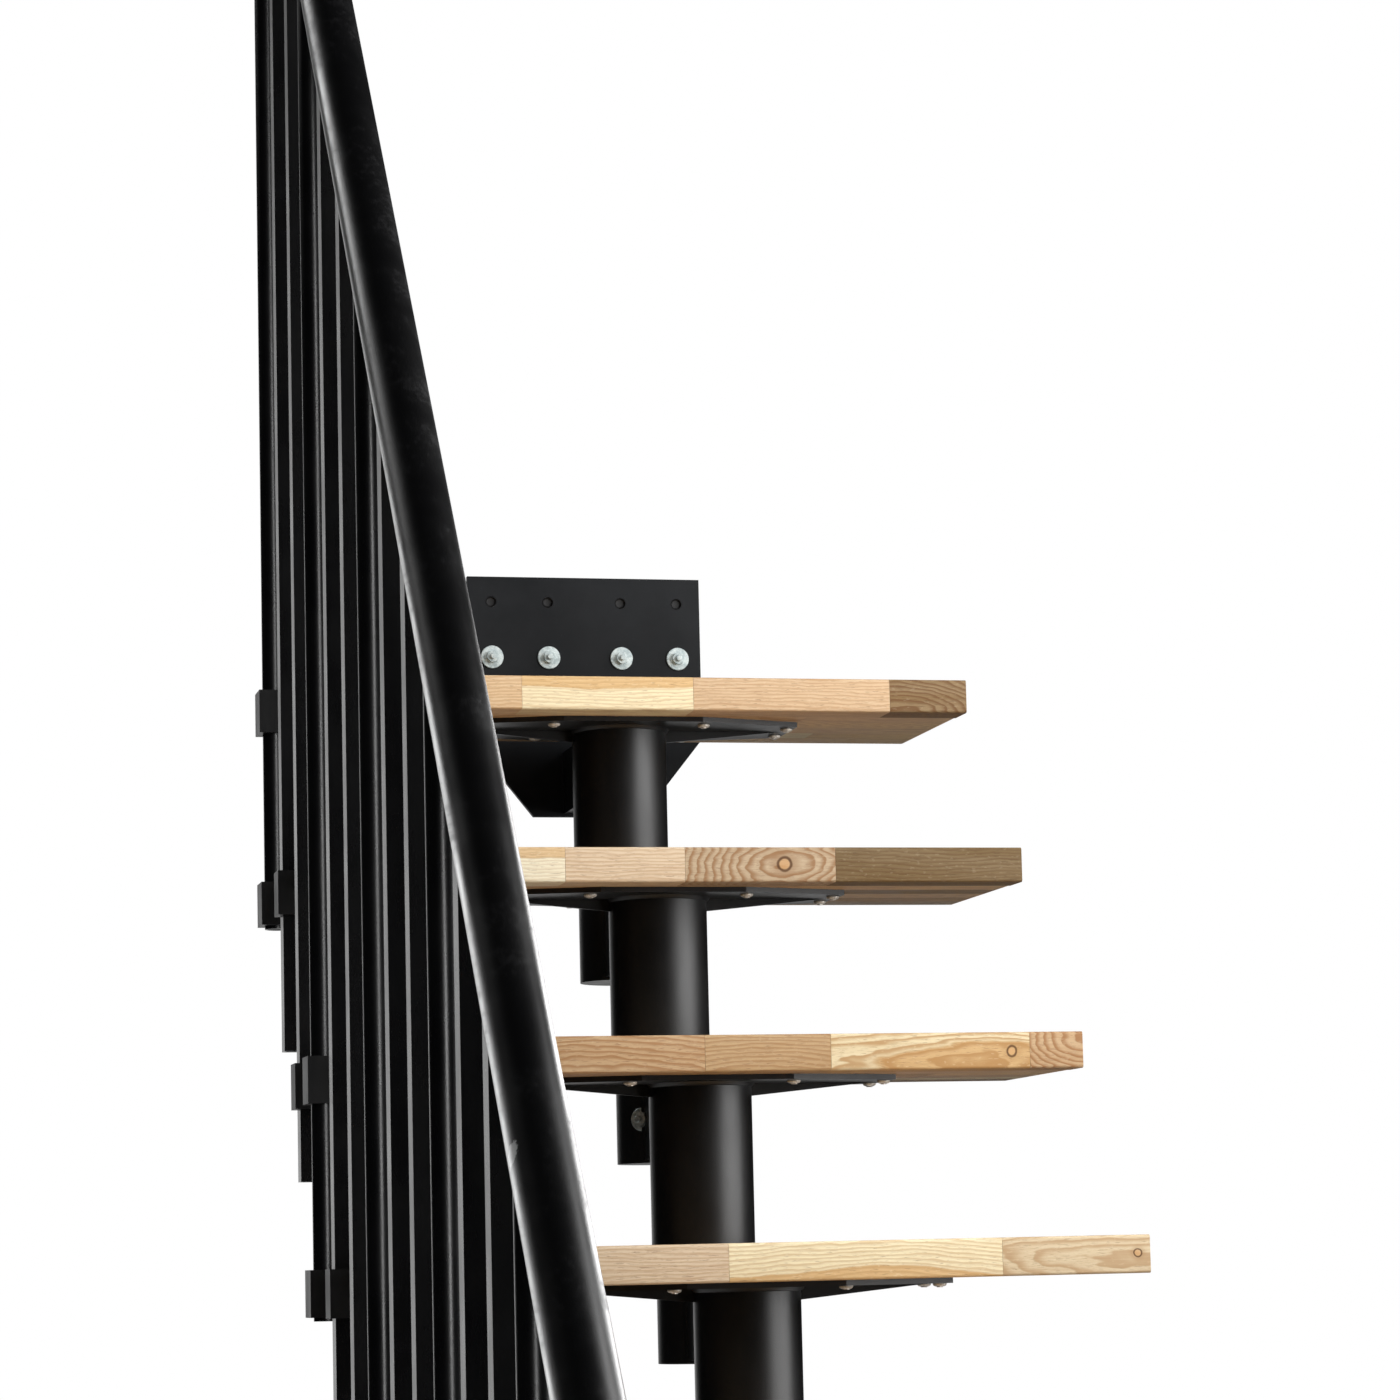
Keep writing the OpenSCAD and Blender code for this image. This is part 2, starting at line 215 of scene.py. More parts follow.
class Nodes:
    """Short ways to add and join shader nodes."""

    def __init__(self, material):
        material.use_nodes = True
        self.tree = material.node_tree
        self.tree.nodes.clear()

    def add(self, kind, **settings):
        node = self.tree.nodes.new(kind)
        for key, value in settings.items():
            setattr(node, key, value)
        return node

    def set(self, socket, value):
        """Links a socket or sets a value."""
        if isinstance(value, bpy.types.NodeSocket):
            self.tree.links.new(value, socket)
        else:
            socket.default_value = value

    def math(self, operation, a, b=0.0, c=0.0, clamp=False):
        node = self.add("ShaderNodeMath", operation=operation, use_clamp=clamp)
        for socket, value in zip(node.inputs, (a, b, c)):
            self.set(socket, value)
        return node.outputs[0]

    def vector(self, operation, a, b=(0, 0, 0)):
        node = self.add("ShaderNodeVectorMath", operation=operation)
        self.set(node.inputs[0], a)
        self.set(node.inputs[1], b)
        return node.outputs["Value" if operation in ("LENGTH", "DISTANCE") else "Vector"]

    def noise(self, where, scale, detail=2.0, roughness=0.5):
        node = self.add("ShaderNodeTexNoise", noise_dimensions="3D")
        self.set(node.inputs["Vector"], where)
        node.inputs["Scale"].default_value = scale
        node.inputs["Detail"].default_value = detail
        node.inputs["Roughness"].default_value = roughness
        return node.outputs["Fac"]

    def spread(self, value, low, high, to_low=0.0, to_high=1.0):
        """Smooth step from one range to another."""
        node = self.add("ShaderNodeMapRange", interpolation_type="SMOOTHSTEP")
        for socket, v in zip(node.inputs, (value, low, high, to_low, to_high)):
            self.set(socket, v)
        return node.outputs["Result"]

    def mix(self, factor, a, b, blend="MIX"):
        node = self.add("ShaderNodeMix", data_type="RGBA", blend_type=blend)
        self.set(node.inputs["Factor"], factor)
        self.set(node.inputs["A"], a if isinstance(a, bpy.types.NodeSocket) else (*a, 1))
        self.set(node.inputs["B"], b if isinstance(b, bpy.types.NodeSocket) else (*b, 1))
        return node.outputs["Result"]

    def where(self):
        return self.add("ShaderNodeTexCoord").outputs["Object"]

    def attribute(self, name):
        return self.add("ShaderNodeAttribute", attribute_name=name)

    def bump(self, height, distance, strength=1.0):
        node = self.add("ShaderNodeBump")
        node.inputs["Strength"].default_value = strength
        node.inputs["Distance"].default_value = distance
        self.set(node.inputs["Height"], height)
        return node.outputs["Normal"]

    def blend(self, a, b, share):
        """Sum of two values, the first with its share and the second with the rest."""
        rest = self.math("MULTIPLY", b, 1 - share)
        return self.math("ADD", self.math("MULTIPLY", a, share), rest)

    def finish(self, colour, roughness, normal, **uniform):
        """Joins up the surface shader. Uniform values go straight on its sockets."""
        shader = self.add("ShaderNodeBsdfPrincipled")
        self.set(shader.inputs["Base Color"], colour)
        self.set(shader.inputs["Roughness"], roughness)
        self.set(shader.inputs["Normal"], normal)
        for key, value in uniform.items():
            shader.inputs[key.replace("_", " ")].default_value = value
        out = self.add("ShaderNodeOutputMaterial")
        self.tree.links.new(shader.outputs[0], out.inputs["Surface"])


def srgb(*rgb):
    """Linear colour from 0-255 values."""
    shares = [v / 255 for v in rgb]
    return tuple(v / 12.92 if v <= 0.04045 else ((v + 0.055) / 1.055) ** 2.4 for v in shares)


def powder_coat(name, dark, light, rough_low, rough_high, level):
    """Black powder coat: fine orange peel, cloudy sheen, handling marks and a little dust."""
    material = bpy.data.materials.new(name)
    n = Nodes(material)
    p = n.where()
    cloud = n.noise(p, 9, 4, 0.6)
    peel = n.noise(p, 620, 3, 0.55)
    streak = n.noise(n.vector("MULTIPLY", p, (60, 60, 6)), 1.0, 4, 0.65)
    speck = n.spread(n.noise(p, 260, 2, 0.7), 0.70, 0.78)
    colour = n.mix(n.spread(cloud, 0.35, 0.7), dark, light)
    colour = n.mix(n.math("MULTIPLY", speck, 0.35), colour, tuple(3.0 * c for c in light))
    rough = n.spread(n.blend(cloud, streak, 0.6), 0.3, 0.7, rough_low, rough_high)
    height = n.math("ADD", peel, n.math("MULTIPLY", cloud, 0.8))
    n.finish(colour, rough, n.bump(height, 0.00012, 0.7), Specular_IOR_Level=level)
    return material


def rail_coat(name, dark, light):
    """The handrail's satin coat, with hand-worn streaks along it and one chip at a baluster."""
    material = bpy.data.materials.new(name)
    n = Nodes(material)
    p = n.where()
    cloud = n.noise(p, 14, 4, 0.6)
    fine = n.noise(p, 700, 3, 0.5)
    along = n.add("ShaderNodeMapping", vector_type="POINT")
    along.inputs["Rotation"].default_value = (-math.atan2(RISE, GOING), 0, 0)
    along.inputs["Scale"].default_value = (160, 5, 160)
    n.set(along.inputs["Vector"], p)
    streak = n.noise(along.outputs["Vector"], 1.0, 3, 0.6)
    worn = n.spread(n.math("MULTIPLY", streak, cloud), 0.27, 0.42)
    colour = n.mix(n.math("MULTIPLY", worn, 0.5), dark, light)
    chip_edge = n.math("MULTIPLY", n.noise(p, 240, 3, 0.7), 0.010)
    chip_at = n.vector("DISTANCE", n.vector("MULTIPLY", p, (1, 1, CHIP_SQUEEZE)), CHIP_AT)
    chip = n.spread(n.math("ADD", chip_at, chip_edge), 0.0125, 0.0105)
    colour = n.mix(chip, colour, srgb(150, 152, 152))
    rough = n.math("ADD", n.spread(cloud, 0.3, 0.7, 0.30, 0.40), n.math("MULTIPLY", worn, 0.08))
    height = n.math("ADD", fine, n.math("MULTIPLY", streak, 0.5))
    n.finish(colour, rough, n.bump(height, 0.00010, 0.6), Specular_IOR_Level=0.5)
    return material


def zinc_finish(name, pale, grey, rough_low, rough_high):
    """Zinc plating: cloudy, with fine turning marks."""
    material = bpy.data.materials.new(name)
    n = Nodes(material)
    p = n.where()
    cloud = n.noise(p, 160, 4, 0.65)
    marks = n.noise(n.vector("MULTIPLY", p, (300, 300, 2600)), 1.0, 2, 0.5)
    colour = n.mix(n.spread(cloud, 0.35, 0.65), pale, grey)
    rough = n.spread(n.blend(cloud, marks, 0.5), 0.3, 0.7, rough_low, rough_high)
    n.finish(colour, rough, n.bump(n.math("ADD", marks, cloud), 0.00010, 0.5), Metallic=0.25)
    return material


RING_SPACING = 0.0042    # between two growth rings


def oak_finish(name):
    """Oiled oak staves. Each carries its colour, its rings' centre and its knot as attributes."""
    material = bpy.data.materials.new(name)
    n = Nodes(material)
    p = n.where()
    tone = n.attribute("tone").outputs["Color"]
    heart = n.attribute("heart").outputs["Vector"]
    grain = n.add("ShaderNodeSeparateXYZ")
    n.set(grain.inputs[0], n.attribute("grain").outputs["Vector"])
    stretch, contrast, seed = grain.outputs
    knot = n.add("ShaderNodeSeparateXYZ")
    n.set(knot.inputs[0], n.attribute("knot").outputs["Vector"])
    seeds = n.add("ShaderNodeCombineXYZ")
    for socket, factor in zip(seeds.inputs, (7.3, 3.1, 5.7)):
        n.set(socket, n.math("MULTIPLY", seed, factor))
    own = n.vector("ADD", p, seeds.outputs[0])

    # Growth rings round the stave's heart, long along the board.
    wander = n.noise(n.vector("MULTIPLY", own, (5.0, 22.0, 22.0)), 1.0, 3, 0.55)
    ripple = n.noise(n.vector("MULTIPLY", own, (34.0, 90.0, 90.0)), 1.0, 2, 0.5)
    off = n.add("ShaderNodeSeparateXYZ")
    n.set(off.inputs[0], n.vector("SUBTRACT", p, heart))
    long_x = n.math("MULTIPLY", off.outputs[0], stretch)
    away = n.add("ShaderNodeCombineXYZ")
    n.set(away.inputs[0], long_x)
    n.set(away.inputs[1], off.outputs[1])
    n.set(away.inputs[2], off.outputs[2])
    ring_at = n.vector("LENGTH", away.outputs[0])
    for uneven, reach in ((wander, 0.020), (ripple, 0.0035)):
        ring_at = n.math("ADD", ring_at, n.math("MULTIPLY", n.math("SUBTRACT", uneven, 0.5), reach))
    saw = n.math("FRACT", n.math("DIVIDE", ring_at, RING_SPACING))
    late = n.math("MULTIPLY", n.spread(saw, 0.25, 0.80), n.spread(saw, 1.0, 0.86))
    broad = n.spread(n.noise(n.vector("MULTIPLY", own, (4.0, 55.0, 55.0)), 1.0, 3, 0.6), 0.35, 0.65)

    # Open pores and pale rays, drawn out along the grain.
    pores = n.noise(n.vector("MULTIPLY", own, (85.0, 1100.0, 1100.0)), 1.0, 2, 0.6)
    pore = n.math("MULTIPLY", n.spread(pores, 0.56, 0.68), n.spread(late, 0.9, 0.1))
    rays = n.noise(n.vector("MULTIPLY", own, (150.0, 380.0, 380.0)), 1.0, 1, 0.5)
    ray = n.spread(rays, 0.64, 0.70)
    fibre = n.noise(n.vector("MULTIPLY", own, (28.0, 620.0, 620.0)), 1.0, 2, 0.6)

    brown = n.mix(1.0, tone, srgb(196, 158, 118), "MULTIPLY")
    pale = n.mix(0.35, tone, srgb(246, 232, 202))
    dark = n.mix(1.0, brown, srgb(178, 140, 104), "MULTIPLY")
    within = n.math("SUBTRACT", n.attribute("heartwood").outputs["Fac"], ring_at)
    heartwood = n.mix(1.0, tone, srgb(232, 205, 176), "MULTIPLY")
    colour = n.mix(n.math("MULTIPLY", broad, 0.22), tone, pale)
    colour = n.mix(n.math("MULTIPLY", n.spread(within, -0.0008, 0.0008), 0.9), colour, heartwood)
    seam = n.math("MULTIPLY", n.spread(within, -0.0016, 0.0), n.spread(within, 0.0016, 0.0))
    colour = n.mix(n.math("MULTIPLY", seam, 0.35), colour, brown)
    late_share = n.math("MULTIPLY", n.math("MULTIPLY", late, contrast), 0.75, clamp=True)
    colour = n.mix(late_share, colour, brown)
    colour = n.mix(n.math("MULTIPLY", n.spread(fibre, 0.35, 0.75), 0.22), colour, brown)
    colour = n.mix(n.math("MULTIPLY", pore, 0.42), colour, dark)
    colour = n.mix(n.math("MULTIPLY", ray, 0.18), colour, pale)

    # A knot: a round spot on the board's front with a dark bark ring and a browner halo.
    here = n.add("ShaderNodeSeparateXYZ")
    n.set(here.inputs[0], p)
    dx = n.math("SUBTRACT", here.outputs[0], knot.outputs[0])
    dz = n.math("SUBTRACT", here.outputs[2], knot.outputs[1])
    apart = n.math("ADD", n.math("MULTIPLY", dx, dx), n.math("MULTIPLY", dz, dz))
    apart = n.math("SQRT", apart)
    apart = n.math("ADD", apart, n.math("MULTIPLY", n.math("SUBTRACT", ripple, 0.5), 0.003))
    share = n.math("DIVIDE", apart, knot.outputs[2])
    bark = n.math("MULTIPLY", n.spread(share, 0.62, 0.86), n.spread(share, 1.22, 0.98))
    inside = n.spread(share, 0.85, 0.65)
    halo = n.spread(share, 2.6, 1.0)
    colour = n.mix(n.math("MULTIPLY", halo, 0.35), colour, brown)
    colour = n.mix(n.math("MULTIPLY", inside, 0.6), colour, srgb(214, 168, 116))
    colour = n.mix(n.math("MULTIPLY", bark, 0.85), colour, srgb(84, 52, 26))

    rough = n.spread(n.blend(fibre, late, 0.6), 0.2, 0.8, 0.62, 0.46)
    height = n.math("SUBTRACT", n.math("MULTIPLY", late, 0.5), pore)
    height = n.math("SUBTRACT", height, bark)
    n.finish(colour, rough, n.bump(height, 0.00018, 0.6), Specular_IOR_Level=0.25)
    return material


# The chip is drawn out upward: heights count CHIP_SQUEEZE times, in its place too.
CHIP_SQUEEZE = 0.55
CHIP_AT = (RAIL_X - 0.0257, 0.2487, 1.0244)
COAT = powder_coat("black_powder_coat", srgb(6, 6, 7), srgb(11, 11, 12), 0.36, 0.46, 0.5)
SATIN = powder_coat("satin_black_posts", srgb(3, 3, 4), srgb(6, 6, 7), 0.24, 0.32, 0.5)
PLATE = powder_coat(
    "grey_black_plate_coat", srgb(17, 19, 22), srgb(24, 26, 29), 0.42, 0.55, 0.22
)
RAIL = rail_coat("satin_black_rail", srgb(5, 5, 6), srgb(18, 18, 20))
CAP = powder_coat("black_cap_plastic", srgb(14, 14, 15), srgb(22, 22, 23), 0.45, 0.6, 0.4)
ZINC = zinc_finish("zinc_plate", srgb(226, 236, 236), srgb(176, 190, 192), 0.24, 0.42)
SCREW = zinc_finish("screw_zinc", srgb(232, 226, 216), srgb(184, 178, 170), 0.30, 0.50)
OAK = oak_finish("oiled_oak")


def coat_of(node):
    if node == "handrail":
        return RAIL
    if node in ("wall_plate", "floor_plate"):
        return PLATE
    return SATIN if node in POSTS + PAIRS else COAT


for node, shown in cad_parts.items():
    shown.data.materials.clear()
    shown.data.materials.append(coat_of(node))
    smooth_by_angle(shown, SMOOTH_CAD)

# ---- Oak treads ----

STAVE_ROWS = 6
EDGE_R = 0.003
GLUE_GAP = 0.00015    # half of the fine line between staves
NO_KNOT = (50.0, 50.0, 0.01)    # far from every board
FIRST_SEED = 11

PALE = srgb(244, 235, 208)
YELLOW = srgb(241, 227, 190)
ASH = srgb(219, 197, 168)
TAN = srgb(224, 193, 153)
PINK_TAN = srgb(214, 184, 148)
GOLD = srgb(226, 195, 148)
BROWN = srgb(196, 163, 124)
GREY_BROWN = srgb(184, 161, 132)
OLIVE = srgb(135, 108, 71)
DARK_OLIVE = srgb(116, 94, 60)
WARM_BROWN = srgb(189, 157, 116)
PALE_GOLD = srgb(226, 209, 171)
SAND = srgb(215, 195, 161)
PALETTE = [YELLOW, TAN, TAN, PINK_TAN, PINK_TAN, GOLD, GOLD, BROWN, GREY_BROWN, OLIVE]

# Front staves that the camera sees, from the railing's end. For each: its right end, from the
# board's middle; colour; ring centre (x, z from the tread's top); stretch and contrast of the
# rings; knot (x, z, radius); radius of the browner heartwood round the ring centre.
FRONT_STAVES = {
    "tread_11": [
        (-0.145, TAN, (-0.30, -0.10), 0.05, 0.5, None, 0),
        (0.062, YELLOW, (-0.05, 0.046), 0.16, 0.5, None, 0.064),
        (0.304, PINK_TAN, (0.15, -0.12), 0.06, 0.5, None, 0),
        (0.400, OLIVE, (0.320, -0.040), 0.45, 1.0, None, 0),
    ],
    "tread_10": [
        (-0.136, PALE, (-0.2, 0.05), 0.12, 0.4, None, 0.066),
        (0.002, ASH, (-0.05, -0.12), 0.06, 0.5, None, 0),
        (0.178, GREY_BROWN, (0.118, -0.0195), 0.50, 1.0, (0.118, -0.0195, 0.0085), 0),
        (0.400, DARK_OLIVE, (0.30, 0.10), 0.05, 0.6, None, 0),
    ],
    "tread_09": [
        (-0.026, BROWN, (-0.13, -0.045), 0.20, 0.8, None, 0),
        (0.114, WARM_BROWN, (0.05, -0.09), 0.35, 0.6, None, 0),
        (0.339, PALE_GOLD, (0.262, -0.030), 0.16, 1.0, (0.318, -0.021, 0.0060), 0.030),
        (0.400, BROWN, (0.400, -0.010), 0.60, 1.0, None, 0),
    ],
    "tread_08": [
        (-0.052, ASH, (-0.20, -0.10), 0.08, 0.5, None, 0),
        (0.239, YELLOW, (0.10, -0.075), 0.23, 0.6, None, 0.055),
        (0.400, SAND, (0.40, -0.021), 0.15, 0.7, (0.386, -0.019, 0.0045), 0),
    ],
}


def stave_outline(y0, y1, half_t, front, back, inset):
    """Cross-section of a stave as (y, z) points, its outer edges rounded."""
    points = []
    top, bottom = half_t - inset, -half_t + inset
    low = y0 + inset if front else y0
    high = y1 - inset if back else y1

    def corner(y, z, a0, rounded):
        if not rounded:
            points.append((y, z))
            return
        cy = y + EDGE_R if y == low else y - EDGE_R
        cz = z + EDGE_R if z == bottom else z - EDGE_R
        for k in range(CORNER_STEPS + 1):
            a = a0 + math.pi / 2 * k / CORNER_STEPS
            points.append((cy + EDGE_R * math.cos(a), cz + EDGE_R * math.sin(a)))

    corner(high, bottom, -math.pi / 2, back)
    corner(high, top, 0, back)
    corner(low, top, math.pi / 2, front)
    corner(low, bottom, math.pi, front)
    return points


def end_stations(x, inward, rounded):
    """Places near a stave's end, each with how far its outline is inset there."""
    if not rounded:
        return [(x + inward * GLUE_GAP, 0.0)]
    angles = [math.pi / 2 * k / CORNER_STEPS for k in range(CORNER_STEPS + 1)]
    return [
        (x + inward * EDGE_R * (1 - math.sin(a)), EDGE_R * (1 - math.cos(a))) for a in angles
    ]


def add_stave(bm, x0, x1, row, centre, depth, left_end, right_end):
    """One stave block as a closed solid. Returns its faces."""
    width = depth / STAVE_ROWS
    y0 = -depth / 2 + row * width
    front, back = row == 0, row == STAVE_ROWS - 1
    lo = y0 if front else y0 + GLUE_GAP
    hi = y0 + width if back else y0 + width - GLUE_GAP
    rings = []
    for x, inset in sorted(end_stations(x0, 1, left_end) + end_stations(x1, -1, right_end)):
        outline = stave_outline(lo, hi, TREAD_T / 2, front, back, inset)
        rings.append([bm.verts.new(centre + Vector((x, y, z))) for y, z in outline])
    faces = [bm.faces.new(list(reversed(rings[0]))), bm.faces.new(rings[-1])]
    for one, two in zip(rings, rings[1:]):
        for k in range(len(one)):
            m = (k + 1) % len(one)
            faces.append(bm.faces.new([one[k], one[m], two[m], two[k]]))
    return faces


def tread_plan(name, half, seed):
    """Staves of one tread, each as its row, ends and what FRONT_STAVES gives after its end."""
    draw = random.Random(seed)
    plan = []
    for row in range(STAVE_ROWS):
        if row == 0 and name in FRONT_STAVES:
            x = -half
            for right, *rest in FRONT_STAVES[name]:
                end = min(right, half)
                plan.append((row, x, end, *rest))
                x = end
            continue
        x = -half
        while x < half - 1e-6:
            end = x + draw.uniform(0.16, 0.42)
            if half - end < 0.10:
                end = half
            tone = draw.choice(PALETTE)
            heart = (draw.uniform(x, end), draw.choice([-1, 1]) * draw.uniform(0.02, 0.16))
            heartwood = draw.uniform(0.04, 0.08) if tone == YELLOW else 0
            stretch, contrast = draw.uniform(0.05, 0.20), draw.uniform(0.4, 0.9)
            knot = None
            plan.append((row, x, end, tone, heart, stretch, contrast, knot, heartwood))
            x = end
    return plan


def build_tread(name, seed):
    """Rebuilds one tread as its staves, and hands the shader their values as attributes."""
    low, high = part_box(name)
    centre = (low + high) / 2
    half, depth = (high.x - low.x) / 2, high.y - low.y
    bm = bmesh.new()
    tone_layer = bm.faces.layers.float_vector.new("tone")
    heart_layer = bm.faces.layers.float_vector.new("heart")
    grain_layer = bm.faces.layers.float_vector.new("grain")
    knot_layer = bm.faces.layers.float_vector.new("knot")
    heartwood_layer = bm.faces.layers.float.new("heartwood")
    draw = random.Random(seed + 100)
    for row, x0, x1, *looks in tread_plan(name, half, seed):
        tone, heart, stretch, contrast, knot, heartwood = looks
        faces = add_stave(bm, x0, x1, row, centre, depth, x0 <= -half, x1 >= half)
        own = draw.uniform(0, 9)
        shade = draw.uniform(0.96, 1.03)
        row_y = low.y + (row + 0.5) * depth / STAVE_ROWS
        knot_place = (knot[0], high.z + knot[1], knot[2]) if knot else NO_KNOT
        for f in faces:
            f[tone_layer] = [c * shade for c in tone]
            f[heart_layer] = (centre.x + heart[0], row_y, high.z + heart[1])
            f[grain_layer] = (stretch, contrast, own)
            f[heartwood_layer] = heartwood
            f[knot_layer] = knot_place
    piece = make_piece("oak_" + name, bm, OAK)
    smooth_by_angle(piece, 30)
    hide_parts(name)


for number, name in enumerate(TREADS):
    build_tread(name, FIRST_SEED + number)

# ---- Screws, bolts and welds on the steel ----

# Profiles of turned pieces are (radius, height).
TREAD_SCREW = [(0, 0), (0.0072, 0), (0.0075, 0.0006), (0.0074, 0.0014)]
TREAD_SCREW += [(0.0064, 0.0027), (0.0046, 0.0034), (0, 0.0036)]
BOSS_ACROSS, BOSS_H, BOSS_BELOW = 0.0062, 0.0012, 0.0031


def carrier_screws(module, tread):
    """Low round screw heads with a hexagon boss, from below through the carrier plate."""
    centre = mid(tread)
    under = centre.z - TREAD_T / 2 - CARRIER_T
    draw = random.Random(int(module[-2:]))
    bm = bmesh.new()
    for x, y in SCREW_PLACES:
        place = Vector((centre.x + x, centre.y + y, under))
        add_lathe(bm, TREAD_SCREW, place, (0, 0, -1), 24)
        boss = place - Vector((0, 0, BOSS_BELOW))
        add_hex(bm, BOSS_ACROSS, BOSS_H, boss, (0, 0, -1), draw.uniform(0, 1))
    piece = make_piece("tread_screws_" + module[-2:], bm, SCREW)
    smooth_by_angle(piece)


def weld_beads(module, tread):
    """Fillet welds: round the tube under its carrier plate and down the web's four joints."""
    centre = mid(tread)
    top = centre.z - TREAD_T / 2 - CARRIER_T
    bm = bmesh.new()
    size, root = 0.0045, 0.001    # the bead's leg, and how deep it goes into the steel
    bead = [(TUBE_R - root, 0.0005), (TUBE_R + size, 0.0005), (TUBE_R + size * 0.62, -size * 0.45)]
    bead += [(TUBE_R + size * 0.25, -size * 0.85), (TUBE_R - root, -size)]
    add_ring(bm, bead, Vector((centre.x, centre.y, top)), (0, 0, 1), 64)
    half = WEB_W / 2
    reach = math.sqrt(TUBE_R**2 - half**2)
    joints = [(centre.y + reach, 1)]
    if module != MODULES[-1]:
        joints.append((centre.y + GOING - math.sqrt(SPIGOT_R**2 - half**2), -1))
    ripples, clear = 12, 0.004    # along an upright bead, and its distance from the web's edges
    for y, side in joints:
        for x in (-1, 1):
            rings = []
            for k in range(ripples + 1):
                z = top - clear - (WEB_H - 2 * clear) * k / ripples
                swell = 0.0034 + 0.0005 * (k % 2)
                outline = [(-root, 0.004), (swell * 0.35, 0.003)]
                outline += [(swell * 0.8, -0.001), (-root, -0.004)]
                rings.append(
                    [
                        bm.verts.new((centre.x + x * (half + out), y + side * along, z))
                        for out, along in outline
                    ]
                )
            for one, two in zip(rings, rings[1:]):
                for j in range(4):
                    m = (j + 1) % 4
                    bm.faces.new([one[j], one[m], two[m], two[j]])
            bm.faces.new(list(reversed(rings[0])))
            bm.faces.new(rings[-1])
    piece = make_piece("weld_beads_" + module[-2:], bm, COAT)
    smooth_by_angle(piece, 50)


for module, tread in zip(MODULES, TREADS):
    carrier_screws(module, tread)
    weld_beads(module, tread)

BOLT_END = [(0, 0), (0.0038, 0), (0.0038, 0.0036), (0.0031, 0.0044), (0, 0.0046)]
WASHER_HOLE_R = 0.0055
WASHER_T = 0.0024


def hex_bolts(name, places, direction, washer_r, across, head_h, end=True):
    """Zinc hexagon nuts on washers, each with its bolt's end showing unless end is False."""
    bm = bmesh.new()
    way = Vector(direction)
    draw = random.Random(len(places) + int(1000 * across))
    for place in places:
        add_washer(bm, washer_r, WASHER_HOLE_R, WASHER_T, place, direction)
        seat = place + way * (WASHER_T - 0.0001)
        add_hex(bm, across, head_h, seat, direction, draw.uniform(0, 1))
        if end:
            add_lathe(bm, BOLT_END, seat + way * (head_h - 0.0002), direction, 20)
    piece = make_piece(name, bm, ZINC)
    smooth_by_angle(piece, 20)


wall_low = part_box("wall_plate")[0]
top_tread_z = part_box(TREADS[-1])[1].z
hex_bolts(
    "wall_bolts",
    [Vector((x, wall_low.y, top_tread_z + WALL_ROW_UP)) for x in WALL_BOLTS_X],
    (0, -1, 0), washer_r=0.0145, across=0.0140, head_h=0.0060,
)


def hole_plugs():
    """Dished black plugs that close the wall plate's unused upper holes."""
    bm = bmesh.new()
    plug = [(0, -0.0070), (0.0069, -0.0070), (0.0069, -0.0005), (0.0064, 0.0002)]
    plug += [(0.0060, -0.0004), (0.0048, -0.0022), (0, -0.0026)]
    for x in WALL_BOLTS_X:
        place = Vector((x, wall_low.y, top_tread_z + WALL_ROW_UP + WALL_ROW_SPACING))
        add_lathe(bm, plug, place, (0, -1, 0), 28)
    piece = make_piece("wall_hole_plugs", bm, CAP)
    smooth_by_angle(piece)


hole_plugs()
hex_bolts(
    "floor_bolts",
    [Vector((x * FLOOR_BOLT, y * FLOOR_BOLT, FLOOR_T)) for x in (-1, 1) for y in (-1, 1)],
    (0, 0, 1), washer_r=0.0120, across=0.0170, head_h=0.0080,
)
bolt_way = Vector((-0.62, -0.785, 0)).normalized()
spigot_axis = mid("tread_09") + Vector((0, GOING, 0.5 * TREAD_T - SPIGOT_BOLT_BELOW_TREAD))
# Set in by 0.8 mm, so that the flat washer has no gap on the round spigot.
spigot_place = spigot_axis + bolt_way * (SPIGOT_R - 0.0008)
hex_bolts(
    "spigot_bolt", [spigot_place], bolt_way, washer_r=0.0135, across=0.0170, head_h=0.0080
)
foot = Vector((RAIL_X, mid("post_1").y, 0))
hex_bolts(
    "post_foot_screws",
    [foot + on_circle(FOOT_SCREW_CIRCLE, math.radians(a), FOOT_T) for a in (30, 150, 270)],
    (0, 0, 1), washer_r=0.0070, across=0.0080, head_h=0.0040, end=False,
)

# ---- Railing details ----


def post_places():
    """Place along the flight and lower end of each round post and square baluster."""
    rounds = [(mid(p).y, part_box(p)[0].z) for p in POSTS]
    squares = []
    for pair in PAIRS:
        low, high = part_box(pair)
        y0, y1 = low.y + BALUSTER_W / 2, high.y - BALUSTER_W / 2
        squares += [(y0, low.z), (y1, low.z + (y1 - y0) * RISE / GOING)]
    return rounds, squares


PLUG_GAP = 0.0002


def end_plugs():
    """Plastic plugs that close the lower ends of the posts and balusters."""
    bm = bmesh.new()
    rounds, squares = post_places()
    round_r = POST_R - POST_WALL - PLUG_GAP
    square_w = BALUSTER_W - 2 * (POST_WALL + PLUG_GAP)
    round_plug = [(0, 0.0004), (round_r - 0.0013, 0.0002), (round_r, 0.0012)]
    round_plug += [(round_r, 0.008), (0, 0.008)]
    for y, z in rounds[1:]:
        add_lathe(bm, round_plug, Vector((RAIL_X, y, z)), (0, 0, 1), 32)
    for y, z in squares:
        made = bmesh.ops.create_cube(bm, size=1.0)
        for v in made["verts"]:
            width = square_w * (0.93 if v.co.z < 0 else 1.0)
            v.co = Vector((RAIL_X, y, z + 0.0042)) + v.co * Vector((width, width, 0.0076))
    piece = make_piece("post_end_plugs", bm, CAP)
    smooth_by_angle(piece)


